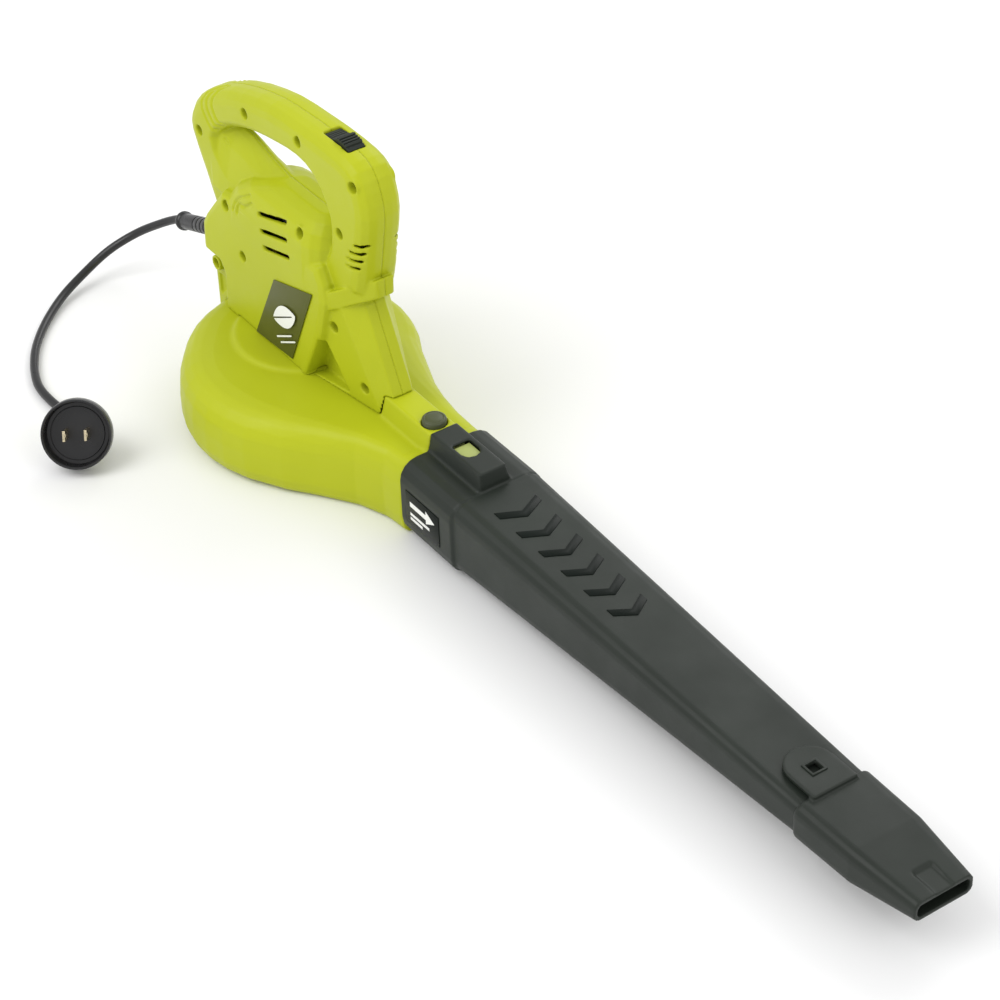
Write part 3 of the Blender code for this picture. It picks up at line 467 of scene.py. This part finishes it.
def strain_relief():
    """Ribbed sleeve that thins towards the cord, with a lip at its end."""
    start, tip = Vector(RELIEF_START), Vector(RELIEF_TIP)
    length = (tip - start).length
    profile = [(0, -3.3), (6.2, -3.3), (6.2, -1.0), (5.9, -0.6)]
    for k in range(9):
        at = 13 + 5.2 * k
        r = 5.55 - 0.035 * k
        profile += [(r, at), (r - 0.1, at + 0.4), (r - 0.75, at + 0.8), (r - 0.75, at + 1.6),
                    (r - 0.1, at + 2.0)]
    profile += [(5.2, at + 2.4), (5.1, length - 4.2), (5.7, length - 3.6), (6.15, length - 2.8),
                (6.2, length - 1.4), (5.9, length - 0.5), (5.1, length), (0, length)]
    sleeve = turned("strain_relief_sleeve", profile, start, tip - start, 48)
    return settle(sleeve, "housing", "cord_rubber", RUBBER, "strain_relief")


def plug():
    length = PLUG_LENGTH
    profile = [(0, -length), (4.4, -length), (5.0, -length + 0.5)]
    for k in range(4):
        at = -length + 1.2 + 3.1 * k
        r = 5.4 + 0.65 * k
        profile += [(r, at), (r + 0.2, at + 0.4), (r + 0.2, at + 1.5), (r, at + 1.9), (r - 0.7, at + 2.2),
                    (r - 0.7, at + 2.8)]
    profile += [(8.4, -18.2), (9.6, -16.2), (12.6, -14.2), (17.5, -13.1), (19.6, -CUP_DEPTH),
                (20.6, -11.8), (PLUG_R, -10.6), (PLUG_R, -2.2), (20.7, -1.6), (20.7, -1.2),
                (20.95, -0.9), (20.8, -0.2), (20.3, 0), (19.7, -0.1), (19.3, -0.5), (18.9, -8.6),
                (18.2, -9.4), (16.2, -9.5), (15.8, -8.9), (0, -8.7)]
    cup = turned("plug_cup", profile, plug_at(0), plug_axis(), 72)
    settle(cup, "housing", "cord_rubber", RUBBER, "plug_body")
    pieces = [cup]
    for side in ("left", "right"):
        node = f"plug_blade_{side}"
        low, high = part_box(node)
        middle = (low + high) / 2 * 1000
        blade = copy_of(node, f"{node}_plated")
        across = plug_axis().cross(Vector((0, 0, 1))).normalized()
        tip = Vector(middle) + plug_axis() * 4.6
        ends = [tip - across * 3, tip + across * 3]
        carve(blade, tube_along("hole", [tuple(e) for e in ends], 1.3, 5))
        bevelled(blade, 0.22, 2)
        settle(blade, "housing", "brass", BRASS, node)
        pieces.append(blade)
    return pieces


def cord():
    route = cord_route()
    flex = tube_along("power_flex", route, CORD_R, 6, mesh=False)
    for spline in flex.data.splines:
        spline.use_smooth = True
    settle(flex, "housing", "cord_rubber", RUBBER, "power_cord")
    with_pieces = plug() + [strain_relief()]


# ---- casings --------------------------------------------------------------------------------------
def grip_grooves(side):
    """Three nested grooves over the rear of the grip: over the crest, down the side and forwards."""
    lines = []
    for k in range(3):
        r = 17 + 6.5 * k
        points = []
        for degrees in (128, 145, 162, 180, 198, 216, 234, 250):
            a = math.radians(degrees)
            lean = min(1.0, max(0.0, (degrees - 120) / 50))
            points.append((-46 + r * math.cos(a) * 1.12, side * (4 + 12 * lean),
                           181 + r * math.sin(a) * 0.9))
        lines.append(points)
    return lines


def shoulder_grooves(side):
    """Two short arcs on the rear shoulder."""
    return [[(-36 + shift, side * 24, 124), (-33 + shift, side * 24, 131),
             (-27 + shift, side * 23, high - 6), (-17 + shift * 0.6, side * 21, high)]
            for shift, high in ((0, 142), (5, 138))]


def shell(name, side):
    """One half of the body, rounded as moulded except along its seam, with its grooves pressed in."""
    node = f"{name}_shell"
    casing = copy_of(node, f"{name}_casing")
    modify(casing, "REMESH", mode="VOXEL", voxel_size=0.00065)
    modify(casing, "SMOOTH", factor=0.5, iterations=1)
    away = casing.vertex_groups.new(name="away_from_seam")
    clear = [v.index for v in casing.data.vertices if abs(v.co.y) > SEAM_BAND * 0.001]
    away.add(clear, 1.0, "REPLACE")
    modify(casing, "SMOOTH", factor=0.5, iterations=6, vertex_group="away_from_seam")
    for vertex in casing.data.vertices:
        if abs(vertex.co.y) < 0.0006:
            vertex.co.y = side * 0.00002
    for line in grip_grooves(side):
        press(casing, line, 1.7, 0.9)
    for line in shoulder_grooves(side):
        press(casing, line, 1.5, 1.1)
    modify(casing, "DECIMATE", ratio=0.45)
    bpy.ops.object.shade_smooth()
    return settle(casing, "housing", "lime", LIME, node)


def fan_casing():
    casing = copy_of("fan_housing", "fan_casing")
    soften(casing, 1.0, 6, 0.55)
    return settle(casing, "housing", "lime", LIME, "fan_housing")


def underside():
    cover = soften(copy_of("base_cover", "underside_cover"), 0.7, 2, 0.5)
    settle(cover, "housing", "black", BLACK, "base_cover")
    guard = soften(copy_of("intake_grille", "intake_guard"), 0.5, 2, 0.7)
    settle(guard, "housing", "black", BLACK, "intake_grille")


def screws():
    """Each screw gets a cross recess and a rounded head."""
    for node in sorted(frame["nodes"]):
        if "_screw_" not in node:
            continue
        low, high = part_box(node)
        middle = (low + high) * 500
        screw = copy_of(node, f"{node}_head")
        if node.startswith("shell"):
            face = low.y * 1000
            for half in ((1.7, 0.35), (0.35, 1.7)):
                carve(screw, box("cross", middle.x - half[0], middle.x + half[0], face - 1, face + 1.1,
                                 middle.z - half[1], middle.z + half[1]))
        else:
            face = low.z * 1000
            for half in ((1.5, 0.3), (0.3, 1.5)):
                carve(screw, box("cross", middle.x - half[0], middle.x + half[0], middle.y - half[1],
                                 middle.y + half[1], face - 1, face + 0.6))
        bevelled(screw, 0.18, 2)
        settle(screw, "housing", "steel", STEEL, node)


# ---- label ----------------------------------------------------------------------------------------
def label():
    """Olive panel on the right side, with a plain leaf and two lines of moving air printed on it."""
    panel = copy_of("label_plate", "label_panel")
    bevelled(panel, 0.25, 2)
    settle(panel, "housing", "label", FILM, "label_plate")
    slope = math.atan(0.05)
    face = Matrix.Translation(mm(22, -26.1, 80)) @ Matrix.Rotation(math.radians(90) - slope, 4, "X")
    leaf = []
    for k in range(17):
        t = k / 16
        leaf.append((-14 + 28 * t, 6.8 * math.sin(math.pi * t) ** 0.8 + 0.2))
    for k in range(1, 16):
        t = 1 - k / 16
        leaf.append((-14 + 28 * t, -6.8 * math.sin(math.pi * t) ** 0.8 - 0.2))
    tilt = Matrix.Rotation(math.radians(28), 4, "Z")
    print_at = face @ Matrix.Translation(mm(0, 0, -0.15)) @ tilt
    mark = slab("leaf_print", leaf, 0.3, print_at)
    below = face @ Matrix.Translation(mm(0, 0, -0.5)) @ tilt
    vein = slab("vein", [(-17, -0.6), (10, -0.4), (10, 0.4), (-17, 0.6)], 1.0, below)
    carve(mark, vein)
    settle(mark, "housing", "label", WHITE)
    for k, (start, end) in enumerate(((-12, 6), (-9, 9)), 1):
        shape = [(start, -0.5), (end, -0.5), (end + 1, 0), (end, 0.5), (start, 0.5)]
        line = slab(f"air_print_{k}", shape, 0.3,
                    face @ Matrix.Translation(mm(1.5 * k, -9 - 3.4 * k, -0.15)) @ tilt)
        settle(line, "housing", "label", WHITE)


# ---- switch and latch -----------------------------------------------------------------------------
def rocker():
    """Black key with five grip grooves on its high end and three on its low end."""
    key = copy_of("switch_rocker", "rocker_key")
    for k in range(5):
        x = 64.0 + 2.2 * k
        z = 213.4 - 0.16 * 2.2 * k - (0.9 if k == 4 else 0)
        carve(key, box("groove", x - 0.45, x + 0.45, -7, 7, z - 0.75, z + 3))
    for k in range(3):
        x = 52.5 + 2.2 * k
        carve(key, box("groove", x - 0.4, x + 0.4, -7, 7, 209.25 + 0.13 * 2.2 * k - 0.6, 214))
    soften(key, 0.28, 2, 0.6)
    settle(key, "rocker", "black", BLACK, "switch_rocker")


def release_button():
    low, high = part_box("release_button")
    r = (high.x - low.x) * 500
    foot, top = low.z * 1000, high.z * 1000
    profile = [(0, foot), (3, foot), (3, foot + 0.9), (r, foot + 0.9), (r, top - 1.9),
               (r - 0.15, top - 1.35), (r - 0.6, top - 0.85), (r - 1.4, top - 0.55),
               (r - 1.9, top - 0.8), (r - 2.4, top - 0.5),
               (r - 3.6, top - 0.2), (2.0, top - 0.02), (0, top)]
    knob = turned("release_knob", profile, (BUTTON_X, 0, 0), (0, 0, 1), 64)
    settle(knob, "button", "olive", OLIVE, "release_button")
    lever = bevelled(copy_of("latch_lever", "latch_arm"), 0.3, 2)
    settle(lever, "latch", "tab", TAB, "latch_lever")


# ---- tube and nozzle ------------------------------------------------------------------------------
def tube_top(x):
    """Height of the tube's flat top."""
    t = (x - COLLAR_END) / (TUBE_END - COLLAR_END)
    return TUBE_TOP - TUBE_TOP_DROP * t


def blower_tube():
    duct = copy_of("blower_tube", "air_tube")
    soften(duct, 0.8, 2, 0.4)
    settle(duct, "tube", "black", BLACK, "blower_tube")
    slope = math.atan(TUBE_TOP_DROP / (TUBE_END - COLLAR_END))
    for k in range(6):
        x = 222 + 20 * k
        reach = 14 - 0.55 * k
        chevron = [(-4.5, -reach), (1.5, -reach), (8.5, 0), (1.5, reach), (-4.5, reach), (2.5, 0)]
        on_top = Matrix.Translation(mm(x, 0, tube_top(x) - 0.35))
        place = on_top @ Matrix.Rotation(slope, 4, "Y")
        mark = bevelled(slab(f"air_chevron_{k + 1}", chevron, 0.8, place), 0.25, 2)
        settle(mark, "tube", "black", GLOSS)


def collar_sticker():
    low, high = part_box("collar_sticker")
    panel = copy_of("collar_sticker", "collar_panel")
    bevelled(panel, 0.15, 2)
    panel.data.transform(Matrix.Translation(mm(0, 0.35, 0)))
    settle(panel, "tube", "black", GLOSS, "collar_sticker")
    middle = (low + high) * 500
    front = Matrix.Translation(mm(middle.x, low.y * 1000 + 0.4, middle.z))
    face = front @ Matrix.Rotation(math.radians(90), 4, "X")
    arrow = [(-12, -1.6), (4, -1.6), (4, -4.4), (12.5, 0), (4, 4.4), (4, 1.6), (-12, 1.6)]
    settle(slab("arrow_print", [(u, v + 3.2) for u, v in arrow], 0.25, face), "tube", "black", WHITE)
    for k, width in enumerate((19, 12)):
        v = -3.6 - 3.2 * k
        shape = [(-12, v - 0.9), (-12 + width, v - 0.9), (-12 + width, v + 0.9), (-12, v + 0.9)]
        bar = slab(f"bar_print_{k + 1}", shape, 0.25, face)
        settle(bar, "tube", "black", WHITE)


def nozzle():
    tip = copy_of("air_nozzle", "nozzle_tip")
    dip = box("dip", 556, 580, -6, 6, 38.4, 46)
    for vertex in dip.data.vertices:
        if vertex.co.x < 0.57 and vertex.co.z > 0.042:
            vertex.co.x -= 0.006
        if vertex.co.x > 0.57 and vertex.co.z < 0.042:
            vertex.co.z -= 0.0006
    carve(tip, dip)
    soften(tip, 0.7, 3, 0.6)
    settle(tip, "nozzle", "black", BLACK, "air_nozzle")
    rim = box("nozzle_hole_rim", 470.2, 479.8, -4.8, 4.8, 44.6, 45.7)
    carve(rim, box("hole", 471.6, 478.4, -3.4, 3.4, 40, 50))
    bevelled(rim, 0.3, 2)
    settle(rim, "nozzle", "black", BLACK)


# ---- parts inside ---------------------------------------------------------------------------------
def inside():
    """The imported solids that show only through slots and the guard, each in its own finish."""
    finishes = {"steel": STEEL, "copper": COPPER, "carbon": CARBON, "brass": BRASS, "black": BLACK}
    slots = {row["node"]: row["material_slot"] for row in frame["record"]["subparts"]}
    for node, piece in frame["nodes"].items():
        if piece.hide_render:
            continue
        look = CORE if "core" in node else finishes[slots[node]]
        piece.data.materials.clear()
        piece.data.materials.append(look)


camera()
studio()
cord()
shell("right", -1)
shell("left", 1)
fan_casing()
underside()
screws()
label()
rocker()
release_button()
blower_tube()
collar_sticker()
nozzle()
inside()
